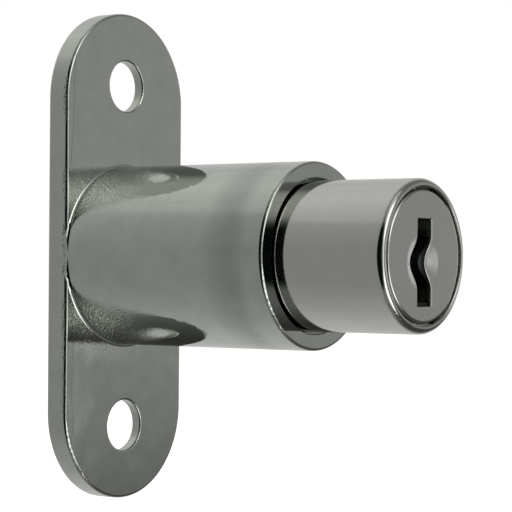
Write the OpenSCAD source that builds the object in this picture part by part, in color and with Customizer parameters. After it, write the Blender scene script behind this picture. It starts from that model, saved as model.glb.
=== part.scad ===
// Push-to-lock cylinder for a sliding door: a cast plate and barrel, a sprung plunger
// with a rotating wafer core, a locking lug, and the bolt pin that the plunger carries.
// Row frame: +Z up, the user stands at -Y, and the origin is where the lock's axis meets
// the plate's front face. Every piece is drawn on a bench frame first, with z along the
// lock's axis towards the user and y up, and lay() then turns it into the row frame.

/* [Barrel] */
// Outside diameter of the barrel
barrel_d = 22; // [22:0.5:26]
// Length of the barrel in front of the plate
barrel_len = 29; // [28:0.5:33]
// Rounding of the barrel's front edge
barrel_edge_r = 0.35; // [0.2:0.05:0.5]
// Radial gap round the plunger at the barrel's mouth
mouth_gap = 0.3; // [0.2:0.05:0.5]
// Depth of the wider mouth
mouth_depth = 1.2; // [0.8:0.1:2]

/* [Plate] */
// Width of the plate, which ends in full half circles
plate_w = 22; // [22:0.5:28]
// Height of the plate
plate_h = 60; // [56:1:76]
// Thickness of the plate
plate_t = 3; // [2.9:0.1:4]
// Rounding of the plate's edges
plate_edge_r = 0.35; // [0.2:0.05:0.6]
// Thickness of the plate's web at the fixing holes, where its back is hollow
web_t = 1.3; // [1.2:0.1:2]
// Width of the wall round the plate's hollow back
plate_rim = 1.5; // [1.3:0.1:2]
// Diameter of the two fixing holes
hole_d = 6.2; // [4:0.1:6.6]
// Distance between the fixing holes
hole_spacing = 42; // [38:1:46]
// Fillet where the barrel meets the plate
root_fillet = 0.3; // [0.2:0.05:0.6]
// Rounding of the fixing holes' front edges
hole_edge_r = 0.25; // [0.1:0.05:0.4]

/* [Plunger] */
// Diameter of the plunger
plunger_d = 17.5; // [17.2:0.05:17.6]
// How far the plunger stands out of the barrel, unlocked
plunger_proud = 14.6; // [13.6:0.1:15.5]
// How far the plunger is pushed in to lock
travel = 12; // [11:0.25:12.5]
// Running clearance of the plunger in the barrel, on the radius
plunger_fit = 0.06; // [0.04:0.01:0.1]
// Rounding of the plunger's front edge
plunger_edge_r = 0.7; // [0.4:0.05:0.7]
// Width of the guide rib under the plunger's rear end
rib_w = 3; // [2:0.25:4]
// Height of the guide rib
rib_h = 0.85; // [0.7:0.05:0.9]
// Length of the guide rib
rib_len = 4.5; // [3:0.25:5]

/* [Lock core] */
// Diameter of the core's body
core_d = 12.8; // [12.6:0.05:13]
// Running clearance of the core in the plunger, on the radius
core_fit = 0.05; // [0.03:0.01:0.08]
// Diameter of the pressed face cap
cap_d = 15.1; // [14.9:0.1:15.2]
// Sheet thickness of the face cap
cap_t = 0.4; // [0.3:0.05:0.5]
// Radial gap round the face cap
cap_gap = 0.3; // [0.25:0.05:0.35]
// How far the face cap lies below the plunger's rim
cap_recess = 0.05; // [0.05:0.05:0.3]
// Thickness of the core's head
head_t = 0.7; // [0.6:0.05:1.2]
// Width of the shallow dimple pressed into the cap round the keyway
dimple_d = 6.8; // [5:0.2:7.2]
// Depth of the dimple
dimple_depth = 0.25; // [0.1:0.05:0.3]
// Diameter of the core's tail
tail_d = 6.8; // [6.4:0.1:7]
// How far the eccentric pin stands off the axis
cam_offset = 0.9; // [0.8:0.02:0.95]
// Diameter of the eccentric pin
cam_d = 2.4; // [2:0.1:2.6]

/* [Keyway] */
// Top of the keyway above the lock's axis
key_top = 4.2; // [4:0.1:4.4]
// Bottom of the cap's keyway below the lock's axis
key_bottom = 5.6; // [5.4:0.1:5.8]
// Width of the keyway at its ends
key_w = 2.9; // [2.6:0.1:3]
// Sideways bow of the keyway's outer edge
key_bow = 1.45; // [1.2:0.05:1.6]
// Bow of the cap's inner edge
cap_inner_bow = 1; // [0.8:0.05:1.2]
// Bow of the core's inner edge, where the core guards the key
core_inner_bow = 2.2; // [1.8:0.05:2.4]
// Half the height over which the keyway bows
bow_half = 2.9; // [2.5:0.1:3.2]
// Step at the keyway's lower end, behind the cap
key_ledge = 0.45; // [0.3:0.05:0.6]

/* [Wafers] */
// Thickness of a wafer
wafer_t = 0.8; // [0.7:0.05:0.9]
// Distance from one wafer to the next
wafer_pitch = 2; // [1.9:0.02:2.06]
// Width of a wafer
wafer_w = 7.8; // [7.6:0.05:7.9]
// How far a wafer springs out of the core with no key in
wafer_throw = 0.7; // [0.5:0.05:0.75]
// Clearance of a wafer in its slot, each side
wafer_fit = 0.05; // [0.03:0.01:0.08]
// Thickness of the wafer's spring tab, along the wafer
tab_t = 0.9; // [0.7:0.05:1]

/* [Locking lug] */
// Width of the lug
lug_w = 6.6; // [6.2:0.1:6.8]
// Thickness of the lug along the lock's axis
lug_t = 3.2; // [3:0.05:3.3]
// Clearance of the lug in the plunger, each side
lug_fit = 0.05; // [0.03:0.01:0.08]
// How far the lug's tip lies inside the plunger's surface when drawn in
lug_shy = 0.1; // [0.05:0.01:0.15]
// Chamfer on the lug's rear edge, which rides up the ramp
lug_chamfer = 1.2; // [1:0.05:1.3]
// Radial play between the thrown lug and the pocket's floor
pocket_play = 0.23; // [0.15:0.01:0.3]
// Axial play of the lug against the pocket's front wall
pocket_end_play = 0.1; // [0.05:0.01:0.2]
// Length of the ramp behind the front pocket
ramp_len = 2; // [1.5:0.1:2.5]

/* [Bolt pin and rear cap] */
// Diameter of the bolt pin
bolt_d = 8; // [7.8:0.05:8.2]
// Running clearance of the bolt pin in the rear cap, on the radius
bolt_fit = 0.06; // [0.04:0.01:0.1]
// How far the bolt pin lies inside the plate's back, unlocked
bolt_shy = 0.2; // [0.1:0.05:0.5]
// Diameter of the bolt pin's pressed tail
bolt_tail_d = 5; // [4.5:0.1:5.2]
// Length of the bolt pin's pressed tail
bolt_tail_len = 4.6; // [4:0.1:4.8]
// Thickness of the rear cap's disc
rear_disc_t = 1.2; // [1.1:0.05:1.3]
// Diameter of the rear cap's disc
rear_disc_d = 19.3; // [19.2:0.05:19.4]
// How far the rear cap's collar reaches into the barrel
collar_len = 2.55; // [2.3:0.05:2.8]
// Wall of the rear cap's collar
collar_wall = 1.35; // [1.2:0.05:1.4]
// Thickness of the retaining ring
ring_t = 0.8; // [0.7:0.05:0.85]
// Depth of the retaining ring's groove below the rear bore
ring_bite = 0.5; // [0.4:0.05:0.6]
// Radial width of the retaining ring
ring_w = 1.15; // [1:0.05:1.3]

/* [Springs] */
// Wire of the plunger's return spring
return_wire = 0.9; // [0.7:0.05:1]
// Mean diameter of the return spring
return_spring_d = 13.5; // [13.3:0.1:13.7]
// Turns of the return spring
return_turns = 6; // [5:1:6]
// Wire of the lug's spring
lug_wire = 0.3; // [0.25:0.01:0.32]
// Mean diameter of the lug's spring
lug_spring_d = 2; // [1.9:0.05:2.1]
// Turns of the lug's spring
lug_turns = 6; // [5:1:6]
// Wire of a wafer's spring
wafer_wire = 0.2; // [0.15:0.01:0.22]
// Mean diameter of a wafer's spring
wafer_spring_d = 0.9; // [0.85:0.02:0.93]
// Turns of a wafer's spring
wafer_turns = 5; // [4:1:5]

/* [Hidden] */

$fn = 96;
fine = 48;            // segments of small roundings
cut = 1;              // how far a cutting solid runs past what it cuts
face_gap = 0.05;      // play between faces that bear on each other across a joint
press_gap = 0.01;     // drawn gap of a pressed seat
wafer_count = 6;
coil_sides = 6;
coil_rings = 8;
bore_edge_r = 0.15;   // rounding of the front edges of the barrel's mouth and the plunger's rim

// Radii
barrel_r = barrel_d / 2;
plunger_r = plunger_d / 2;
bore_r = plunger_r + plunger_fit;
mouth_r = plunger_r + mouth_gap;
core_r = core_d / 2;
core_bore_r = core_r + core_fit;
cap_r = cap_d / 2;
head_r = cap_r - cap_t - press_gap;
head_bore_r = cap_r + cap_gap;
tail_r = tail_d / 2;
tail_bore_r = tail_r + core_fit;
cam_r = cam_d / 2;

// The rear cap's seat, from the plate's back
ring_groove_t = ring_t + 2 * face_gap;
ring_shy = 0.3;       // wall of the plate behind the ring's groove
plate_back = -plate_t;
ring_groove_z = plate_back + ring_shy;
rear_disc_z = ring_groove_z + ring_groove_t;
cap_seat_z = rear_disc_z + rear_disc_t;
rear_bore_r = rear_disc_d / 2 + face_gap;
ring_groove_r = rear_bore_r + ring_bite;
collar_top = cap_seat_z + collar_len;
collar_r = bolt_d / 2 + bolt_fit + collar_wall;

// Stations along the plunger, unlocked, from its rear end
rear_z = collar_top + face_gap + travel;
spring_room = 5;      // depth of the return spring's well
spring_seat_z = rear_z + spring_room;
chamber_floor = 1.65; // wall between the spring's well and the lug's chamber
chamber_z = spring_seat_z + chamber_floor;
lug_z = chamber_z + lug_fit;
chamber_top = lug_z + lug_t + lug_fit;
clip_t = 0.6;         // thickness of the core's clip
clip_lip = 0.7;       // length of the tail behind the clip's groove
clip_room = clip_lip + clip_t + 4 * face_gap;
collar_play = 0.1;    // radial gap between the rear cap's collar and the boss
boss_r = collar_r + collar_play;
spring_well_play = 0.4;
spring_well_r = return_spring_d / 2 + return_wire / 2 + spring_well_play;
tail_hole_len = bolt_tail_len + 0.1;

// Stations along the core, from the plunger's front
front_z = barrel_len + plunger_proud;
face_z = front_z - cap_recess;
head_top = face_z - cap_t;
head_back = head_top - head_t;
core_seat = head_back - face_gap;
wafer_lead = 0.95;    // from a core's end to the middle of the nearest wafer
first_wafer = head_back - wafer_lead;
core_rear = first_wafer - (wafer_count - 1) * wafer_pitch - wafer_lead;
core_floor = core_rear - face_gap;
keyway_end_wall = 0.55;
keyway_floor = core_rear + keyway_end_wall;
tail_end = chamber_top + face_gap;
clip_groove_z = tail_end + clip_lip;
cam_end = lug_z + 0.2;

// Wafers and their slots
wafer_shy = 0.1;      // how far a wafer's ends lie inside the core's surface
wafer_r = core_r - wafer_shy;
slot_t = wafer_t + 2 * wafer_fit;
slot_w = wafer_w + 2 * wafer_fit;
pocket_t = wafer_spring_d + wafer_wire + 0.2;
tab_reach = 1.4;      // how far a wafer's spring tab stands out sideways
tab_near = 0.7;       // from the axis to the face of the tab that the spring bears on
pocket_in = wafer_w / 2 - wafer_fit;
pocket_out = wafer_w / 2 + tab_reach + 3 * wafer_fit;
pocket_half = 2.9;    // half the height of the core's side pockets
window_side = 0.2;    // how much wider a wafer's window is than the keyway, each side
window_bow_half = bow_half + 2 * window_side;
window_end = 0.15;    // how far a window runs past the keyway, at the end that isn't felt
key_cuts = [1.2, 1.25, 0.8, 1.6, 1.1, 0.9]; // how far each wafer reaches into the keyway
key_mid = (key_top - key_bottom) / 2;
keyway_bottom = key_bottom - key_ledge;
sleeve_slot_play = 0.2;
sleeve_slot_w = wafer_w + 2 * sleeve_slot_play;
sleeve_slot_r = wafer_r + wafer_throw + sleeve_slot_play;
bow_steps = 8;        // segments of half a keyway's bow

// The core's clip: an open ring with inner prongs
clip_r = 4.6;
clip_rim = 0.8;
clip_neck_r = 2.9;
clip_prong = 1.3;
clip_prong_angles = [-90, 15, 165];
clip_mouth = 5;
clip_play = 0.3;

// The lug: the pin on the core draws it in by 1.41 times the pin's offset
lug_throw = cam_offset * sqrt(2);
lug_tip_r = plunger_r - lug_shy;
cam_x = cam_offset * cos(45);
cam_y = cam_offset * sin(45);
cam_play = 0.05;
lug_room = 0.3;       // free space below the lug, behind it in its pockets, and past the pin
pocket_side = 0.2;    // sideways play of the lug in its pockets
window_low = -cam_y - cam_r - cam_play;
window_high = cam_y + cam_r + 2 * cam_play;
window_half = cam_offset + cam_r + lug_room;
lug_foot = -4.9;      // height of the lug's lower end
lug_well_depth = 2;
lug_well_r = lug_spring_d / 2 + lug_wire / 2 + 0.2;
chamber_foot = lug_foot - lug_room;
spring_foot = -7.9;   // height of the floor under the lug's spring
pocket_r = lug_tip_r + lug_throw + pocket_play;
pocket_w = lug_w + 2 * pocket_side;
rib_play = 0.1;
rib_groove_r = plunger_r + rib_h + rib_play;
rib_end_play = 0.3;
plate_half = plate_h / 2 - plate_w / 2;
hollow_half = plate_w / 2 - plate_rim;
hollow_start = barrel_r + 0.6;
hollow_corner = 1;

// Turns a piece from the bench frame into the row frame.
module lay() {
    rotate([90, 0, 0]) children();
}

// A rounded rectangle from the origin, w along x and h along y.
module round_rect(w, h, r) {
    translate([r, 0]) square([w - 2 * r, h]);
    translate([0, r]) square([w, h - 2 * r]);
    for (x = [r, w - r], y = [r, h - r])
        translate([x, y]) circle(r, $fn = fine);
}

// A disc or half disc whose rim is rounded by r, standing on z = 0.
module round_disc(radius, t, r, turn = 360) {
    rotate_extrude(angle = turn) {
        square([radius - r, t]);
        translate([0, r]) square([radius, t - 2 * r]);
        for (y = [r, t - r])
            translate([radius - r, y]) circle(r, $fn = fine);
    }
}

// What a bore's front edge loses when it is rounded, for a bore whose mouth is at z = 0.
module edge_rounding(bore, edge) {
    rotate_extrude() difference() {
        translate([bore - edge, -edge]) square([2 * edge, edge + cut]);
        translate([bore + edge, -edge]) circle(edge, $fn = fine);
    }
}

// A helical spring as one tube: its centreline climbs from z = 0 to z = length with
// half a wire kept free at each end.
module coil(mean_d, wire, turns, length) {
    steps = turns * coil_rings;
    rise = length - wire - 2 * press_gap;
    lean = atan(rise / turns / (PI * mean_d));
    r = wire / 2 / cos(180 / coil_sides);
    points = [for (i = [0:steps], k = [0:coil_sides - 1])
        let (a = 360 * i / coil_rings, b = 360 * k / coil_sides,
            out = mean_d / 2 + r * cos(b), up = r * sin(b))
        [out * cos(a) + up * sin(lean) * sin(a),
            out * sin(a) - up * sin(lean) * cos(a),
            wire / 2 + press_gap + rise * i / steps + up * cos(lean)]];
    side = [for (i = [0:steps - 1], k = [0:coil_sides - 1])
        let (n = (k + 1) % coil_sides, p = i * coil_sides, q = p + coil_sides)
        each [[p + k, q + k, q + n], [p + k, q + n, p + n]]];
    last = steps * coil_sides;
    ends = [for (k = [1:coil_sides - 2])
        each [[0, k, k + 1], [last, last + k + 1, last + k]]];
    polyhedron(points, concat(side, ends));
}

// The keyway's outline: straight at both ends, and bowed to the left in the middle
// by half a cosine wave, with its own bow for the outer and the inner edge.
function bow_at(y, deep) = abs(y) < bow_half ? deep * (1 + cos(180 * y / bow_half)) / 2 : 0;
module keyway_outline(bottom, inner_bow) {
    ys = [for (i = [-bow_steps:bow_steps]) bow_half * i / bow_steps];
    left = [for (y = ys) [-key_w / 2 - bow_at(y, key_bow), key_mid + y]];
    right = [for (i = [2 * bow_steps:-1:0])
        [key_w / 2 - bow_at(ys[i], inner_bow), key_mid + ys[i]]];
    polygon(concat([[-key_w / 2, -bottom]], left, [[-key_w / 2, key_top]],
        [[key_w / 2, key_top]], right, [[key_w / 2, -bottom]]));
}

// The ring-shaped pocket that catches the lug: a profile turned about the axis and kept
// only over the lug's width. The ramp lets the lug ride out of it towards the rear.
module lug_pocket(rear, front, ramp) {
    intersection() {
        rotate_extrude() polygon([[core_r, rear - ramp], [bore_r, rear - ramp],
            [pocket_r, rear], [pocket_r, front], [core_r, front]]);
        translate([-pocket_w / 2, 0, rear - ramp - cut])
            cube([pocket_w, barrel_r, front - rear + ramp + 2 * cut]);
    }
}

module housing() {
    lug_front = lug_z + lug_t + pocket_end_play;
    lug_rear = lug_z - lug_room;
    color("silver") lay() difference() {
        union() {
            // the plate: two half discs and the straight bar between them
            for (a = [0, 180]) rotate([0, 0, a]) translate([0, plate_half, -plate_t])
                round_disc(plate_w / 2, plate_t, plate_edge_r, 180);
            translate([0, plate_half, -plate_t]) rotate([90, 0, 0])
                linear_extrude(2 * plate_half)
                translate([-plate_w / 2, 0]) round_rect(plate_w, plate_t, plate_edge_r);
            // the barrel with its rounded front edge
            rotate_extrude() {
                translate([0, -plate_t / 2])
                    square([barrel_r, barrel_len + plate_t / 2 - barrel_edge_r]);
                square([barrel_r - barrel_edge_r, barrel_len]);
                translate([barrel_r - barrel_edge_r, barrel_len - barrel_edge_r])
                    circle(barrel_edge_r, $fn = fine);
            }
            // the root fillet, kept within the plate's width
            intersection() {
                rotate_extrude() difference() {
                    translate([barrel_r - barrel_edge_r, -plate_t / 2])
                        square([root_fillet + barrel_edge_r, root_fillet + plate_t / 2]);
                    translate([barrel_r + root_fillet, root_fillet])
                        circle(root_fillet, $fn = fine);
                }
                translate([-plate_w / 2, -plate_w, -plate_t / 2])
                    cube([plate_w, 2 * plate_w, plate_t]);
            }
        }
        // the bore: seat for the rear cap, its ring's groove, the running bore, the mouth
        rotate_extrude() {
            translate([0, plate_back - cut]) square([rear_bore_r, cap_seat_z - plate_back + cut]);
            translate([0, ring_groove_z]) square([ring_groove_r, ring_groove_t]);
            translate([0, plate_back - cut]) square([bore_r, barrel_len + plate_t + 2 * cut]);
            translate([0, barrel_len - mouth_depth]) square([mouth_r, mouth_depth + cut]);
        }
        // the groove for the plunger's rib, open towards the rear
        intersection() {
            translate([0, 0, cap_seat_z - cut])
                cylinder(r = rib_groove_r, h = rear_z + rib_len + rib_end_play - cap_seat_z + cut);
            translate([-rib_w / 2 - rib_play, -barrel_r - cut, cap_seat_z - 2 * cut])
                cube([rib_w + 2 * rib_play, barrel_r, barrel_len + 4 * cut]);
        }
        // the two pockets: the front one stops the plunger, the rear one locks it
        lug_pocket(lug_rear, lug_front, ramp_len);
        lug_pocket(lug_rear - travel, lug_front - travel, 0);
        // the hollows in the plate's back, one at each end, which leave a web and a rim
        for (a = [0, 180]) rotate([0, 0, a]) translate([0, 0, plate_back - cut])
            linear_extrude(plate_t - web_t + cut) {
            intersection() {
                translate([0, plate_half]) circle(hollow_half);
                translate([-hollow_half, plate_half]) square(2 * hollow_half);
            }
            translate([-hollow_half, hollow_start])
                round_rect(2 * hollow_half, plate_half + hollow_corner - hollow_start, hollow_corner);
        }
        // the fixing holes
        for (s = [-1, 1]) translate([0, s * hole_spacing / 2, plate_back - cut])
            cylinder(d = hole_d, h = plate_t + 2 * cut);
        for (s = [-1, 1]) translate([0, s * hole_spacing / 2, 0])
            edge_rounding(hole_d / 2, hole_edge_r);
        translate([0, 0, barrel_len]) edge_rounding(mouth_r, bore_edge_r);
    }
}

module plunger() {
    color("lightgray") lay() difference() {
        union() {
            translate([0, 0, rear_z])
                cylinder(r = plunger_r, h = front_z - rear_z - plunger_edge_r);
            translate([0, 0, rear_z])
                cylinder(r = plunger_r - plunger_edge_r, h = front_z - rear_z);
            rotate_extrude()
                translate([plunger_r - plunger_edge_r, front_z - plunger_edge_r])
                circle(plunger_edge_r, $fn = fine);
            intersection() {
                translate([0, 0, rear_z]) cylinder(r = plunger_r + rib_h, h = rib_len);
                translate([-rib_w / 2, -barrel_r, rear_z])
                    cube([rib_w, barrel_r, rib_len]);
            }
        }
        // the room for the face cap, the core's bore and the tail's bore behind it
        rotate_extrude() {
            translate([0, core_seat]) square([head_bore_r, front_z - core_seat + cut]);
            translate([0, core_floor]) square([core_bore_r, front_z - core_floor]);
            translate([0, chamber_top]) square([tail_bore_r, front_z - chamber_top]);
        }
        translate([0, 0, front_z]) edge_rounding(head_bore_r, bore_edge_r);
        // the slots above and below the core that the wafers spring into
        intersection() {
            translate([0, 0, core_floor + wafer_lead / 2])
                cylinder(r = sleeve_slot_r, h = core_seat - core_floor);
            translate([-sleeve_slot_w / 2, -plunger_r, core_floor])
                cube([sleeve_slot_w, 2 * plunger_r, core_seat - core_floor + cut]);
        }
        // the lug's chamber, open at the top, and the well for its spring
        translate([-lug_w / 2 - lug_fit, chamber_foot, chamber_z])
            cube([lug_w + 2 * lug_fit, barrel_r - chamber_foot, chamber_top - chamber_z]);
        translate([0, chamber_foot + cut, lug_z + lug_t / 2]) rotate([90, 0, 0])
            cylinder(r = lug_well_r, h = chamber_foot + cut - spring_foot, $fn = fine);
        // the room and the window for the core's clip
        translate([0, 0, chamber_top - cut / 2])
            cylinder(r = clip_r + clip_play, h = clip_room + cut / 2);
        translate([-clip_r - clip_play, 0, chamber_top])
            cube([2 * (clip_r + clip_play), barrel_r, clip_room]);
        // the well for the return spring, round the boss that holds the bolt pin
        translate([0, 0, rear_z - cut]) difference() {
            cylinder(r = spring_well_r, h = spring_room + cut);
            translate([0, 0, -cut]) cylinder(r = boss_r, h = spring_room + 3 * cut);
        }
        translate([0, 0, rear_z - cut])
            cylinder(d = bolt_tail_d + 2 * press_gap, h = tail_hole_len + cut);
    }
}

module lock_core() {
    color("goldenrod") lay() difference() {
        union() {
            rotate_extrude() {
                translate([0, head_back]) square([head_r, head_t]);
                translate([0, core_rear]) square([core_r, head_top - core_rear]);
                translate([0, tail_end]) square([tail_r, head_top - tail_end]);
            }
            translate([cam_x, cam_y, cam_end])
                cylinder(r = cam_r, h = tail_end - cam_end + cut / 2);
        }
        translate([0, 0, keyway_floor]) linear_extrude(front_z)
            keyway_outline(keyway_bottom, core_inner_bow);
        for (i = [0:wafer_count - 1])
            translate([0, 0, first_wafer - i * wafer_pitch]) {
                cube([slot_w, 4 * core_r, slot_t], center = true);
                translate([pocket_in, -pocket_half, -pocket_t / 2])
                    cube([pocket_out - pocket_in, 2 * pocket_half, pocket_t]);
            }
        translate([0, 0, clip_groove_z]) difference() {
            cylinder(r = core_r, h = clip_t + 2 * face_gap);
            translate([0, 0, -cut]) cylinder(r = clip_neck_r, h = clip_t + 3 * cut);
        }
    }
}

// A thin pressed cup over the core's head, with a shallow dimple and the keyway through it.
module core_cap() {
    r = 0.9 * cap_t;
    skirt_gap = 0.2;
    depth = cap_t + head_t - skirt_gap;
    dimple_left = 0.4;
    ball = (pow(dimple_d / 2, 2) + pow(dimple_depth, 2)) / (2 * dimple_depth);
    color("whitesmoke") lay() difference() {
        translate([0, 0, face_z - depth]) rotate_extrude() {
            square([cap_r, depth - r]);
            square([cap_r - r, depth]);
            translate([cap_r - r, depth - r]) circle(r, $fn = fine);
        }
        translate([0, 0, face_z - depth - cut])
            cylinder(r = cap_r - cap_t, h = depth - cap_t + cut);
        translate([0, 0, face_z - depth - cut]) linear_extrude(depth + 2 * cut)
            keyway_outline(key_bottom, cap_inner_bow);
        translate([-dimple_left, key_mid, face_z - dimple_depth + ball]) sphere(ball);
    }
}

// Odd wafers are sprung down and show at the keyway's top; even ones the other way up.
function wafer_up(i) = i % 2 == 0 ? 1 : -1;
function wafer_z(i) = first_wafer - (i - 1) * wafer_pitch;

module wafer(i) {
    s = wafer_up(i);
    bite = key_cuts[i - 1];
    low = s > 0 ? -keyway_bottom + bite : -keyway_bottom - window_end;
    high = s > 0 ? key_top + window_end : key_top - bite;
    color("orange") lay() translate([0, 0, wafer_z(i) - wafer_t / 2])
        linear_extrude(wafer_t) {
        difference() {
            intersection() {
                circle(wafer_r);
                translate([-wafer_w / 2, -core_r]) square([wafer_w, 2 * core_r]);
            }
            translate([-key_w / 2 - window_side, low])
                square([key_w + 2 * window_side, high - low]);
            translate([-key_w / 2 - key_bow - window_side, key_mid - window_bow_half])
                square([key_w + key_bow + 2 * window_side, 2 * window_bow_half]);
        }
        translate([wafer_w / 2 - tab_t / 2, s > 0 ? tab_near : -tab_near - tab_t])
            square([tab_reach + tab_t / 2, tab_t]);
    }
}

// The spring stands between its wafer's tab and the end of the core's side pocket.
module wafer_spring(i) {
    s = wafer_up(i);
    length = pocket_half + tab_near;
    color("dimgray") lay()
        translate([(pocket_in + pocket_out) / 2, -s * pocket_half, wafer_z(i)])
        rotate([-90 * s, 0, 0]) coil(wafer_spring_d, wafer_wire, wafer_turns, length);
}

// Spring clip in the tail's groove.
module core_clip() {
    color("dimgray") lay() translate([0, 0, clip_groove_z + face_gap])
        linear_extrude(clip_t) difference() {
        union() {
            difference() {
                circle(clip_r);
                circle(clip_r - clip_rim);
            }
            intersection() {
                circle(clip_r - clip_rim / 2);
                for (a = clip_prong_angles) rotate(a) translate([0, -clip_prong / 2])
                    square([clip_r, clip_prong]);
            }
        }
        circle(clip_neck_r + press_gap);
        translate([-clip_mouth / 2, 0]) square([clip_mouth, clip_r + cut]);
    }
}

module locking_lug() {
    color("steelblue") lay() difference() {
        intersection() {
            translate([0, 0, lug_z]) cylinder(r = lug_tip_r, h = lug_t);
            translate([-lug_w / 2, lug_foot, lug_z])
                cube([lug_w, lug_tip_r - lug_foot, lug_t]);
        }
        // the window that the core's eccentric pin works in
        translate([-window_half, window_low, lug_z - cut])
            cube([2 * window_half, window_high - window_low, lug_t + 2 * cut]);
        // the blind hole for the spring
        translate([0, lug_foot + lug_well_depth, lug_z + lug_t / 2]) rotate([90, 0, 0])
            cylinder(r = lug_well_r, h = lug_well_depth + cut, $fn = fine);
        // the chamfer along the rear edge of the tip
        translate([0, lug_tip_r - lug_chamfer, lug_z]) rotate([45, 0, 0])
            translate([-lug_w, 0, -2 * lug_chamfer])
            cube([2 * lug_w, 3 * lug_chamfer, 2 * lug_chamfer]);
    }
}

module lug_spring() {
    length = lug_foot + lug_well_depth - spring_foot;
    color("dimgray") lay() translate([0, spring_foot, lug_z + lug_t / 2])
        rotate([-90, 0, 0]) coil(lug_spring_d, lug_wire, lug_turns, length);
}

module bolt_pin() {
    chamfer = 0.6;
    tip = plate_back + bolt_shy;
    color("gray") lay() rotate_extrude() {
        polygon([[0, tip], [bolt_d / 2 - chamfer, tip], [bolt_d / 2, tip + chamfer],
            [bolt_d / 2, rear_z], [bolt_tail_d / 2, rear_z],
            [bolt_tail_d / 2, rear_z + bolt_tail_len], [0, rear_z + bolt_tail_len]]);
    }
}

module return_spring() {
    color("dimgray") lay() translate([0, 0, cap_seat_z])
        coil(return_spring_d, return_wire, return_turns, spring_seat_z - cap_seat_z);
}

// The disc that closes the barrel's rear, with the collar that guides the bolt pin.
module rear_cap() {
    color("darkgray") lay() rotate_extrude() difference() {
        union() {
            translate([0, rear_disc_z]) square([rear_disc_d / 2, rear_disc_t]);
            translate([0, rear_disc_z]) square([collar_r, collar_top - rear_disc_z]);
        }
        translate([-cut, rear_disc_z - cut])
            square([bolt_d / 2 + bolt_fit + cut, collar_top + plate_t + cut]);
    }
}

// An open ring with two drilled ears, sprung into the groove behind the rear cap.
module retaining_ring() {
    outer = ring_groove_r - face_gap;
    inner = outer - ring_w;
    ear_r = 1.3;
    ear_hole_r = 0.55;
    ear_angle = 14;
    gap_w = 1.6;
    ear_at = outer - ear_r;
    color("dimgray") lay() translate([0, 0, ring_groove_z + face_gap])
        linear_extrude(ring_t) difference() {
        union() {
            difference() {
                circle(outer);
                circle(inner);
            }
            for (s = [-1, 1]) rotate(-90 + s * ear_angle) translate([ear_at, 0])
                circle(ear_r, $fn = fine);
        }
        translate([-gap_w / 2, -outer - cut]) square([gap_w, outer]);
        for (s = [-1, 1]) rotate(-90 + s * ear_angle) translate([ear_at, 0])
            circle(ear_hole_r, $fn = fine);
    }
}

// The least clear space between a coil's turns, measured from ring centre to ring centre.
function coil_point(i, mean_d, turns, rise) = let (a = 360 * i / coil_rings)
    [mean_d / 2 * cos(a), mean_d / 2 * sin(a), rise * i / (turns * coil_rings)];
function turn_gap(mean_d, wire, turns, length) =
    let (rise = length - wire - 2 * press_gap, last = turns * coil_rings, far = coil_rings / 2)
    min([for (i = [0:last - far], j = [i + far:last])
        norm(coil_point(i, mean_d, turns, rise) - coil_point(j, mean_d, turns, rise))]) - wire;
echo(return_gap = turn_gap(return_spring_d, return_wire, return_turns,
    spring_seat_z - cap_seat_z));
echo(lug_gap = turn_gap(lug_spring_d, lug_wire, lug_turns,
    lug_foot + lug_well_depth - spring_foot));
echo(wafer_gap = turn_gap(wafer_spring_d, wafer_wire, wafer_turns, pocket_half + tab_near));

housing();
plunger();
lock_core();
core_cap();
wafer(1);  // wafer_1
wafer(2);  // wafer_2
wafer(3);  // wafer_3
wafer(4);  // wafer_4
wafer(5);  // wafer_5
wafer(6);  // wafer_6
wafer_spring(1);  // wafer_spring_1
wafer_spring(2);  // wafer_spring_2
wafer_spring(3);  // wafer_spring_3
wafer_spring(4);  // wafer_spring_4
wafer_spring(5);  // wafer_spring_5
wafer_spring(6);  // wafer_spring_6
core_clip();
locking_lug();
lug_spring();
bolt_pin();
return_spring();
rear_cap();
retaining_ring();
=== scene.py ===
import math

import bpy
import numpy as np
from mathutils import Matrix, Vector


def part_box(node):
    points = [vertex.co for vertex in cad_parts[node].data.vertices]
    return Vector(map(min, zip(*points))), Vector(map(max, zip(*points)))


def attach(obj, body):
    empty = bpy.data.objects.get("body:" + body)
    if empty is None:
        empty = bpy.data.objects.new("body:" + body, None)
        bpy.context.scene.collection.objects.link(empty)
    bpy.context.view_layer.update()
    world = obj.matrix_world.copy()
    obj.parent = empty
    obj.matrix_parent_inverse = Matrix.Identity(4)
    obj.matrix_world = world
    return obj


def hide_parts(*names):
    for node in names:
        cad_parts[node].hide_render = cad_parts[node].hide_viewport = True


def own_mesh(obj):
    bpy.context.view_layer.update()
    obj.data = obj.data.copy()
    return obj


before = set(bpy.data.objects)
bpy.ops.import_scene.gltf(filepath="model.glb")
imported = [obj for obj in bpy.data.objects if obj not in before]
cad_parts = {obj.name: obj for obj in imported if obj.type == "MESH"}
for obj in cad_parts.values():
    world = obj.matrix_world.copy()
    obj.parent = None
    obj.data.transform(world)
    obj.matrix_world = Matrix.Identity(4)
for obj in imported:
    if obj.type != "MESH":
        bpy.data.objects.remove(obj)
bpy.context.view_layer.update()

# Sizes are in metres. The lock's axis is the Y axis, the user stands at -Y, and +Z is up.
MM = 0.001
FACE_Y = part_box("core_cap")[0].y
SKIRT_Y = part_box("core_cap")[1].y
CAP_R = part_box("core_cap")[1].x
CAP_EDGE_R = 0.36 * MM
CAP_T = 0.4 * MM
BARREL_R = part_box("housing")[1].x
BARREL_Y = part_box("housing")[0].y
PLUNGER_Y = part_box("plunger")[0].y
RECESS_R = CAP_R + 0.3 * MM

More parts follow.
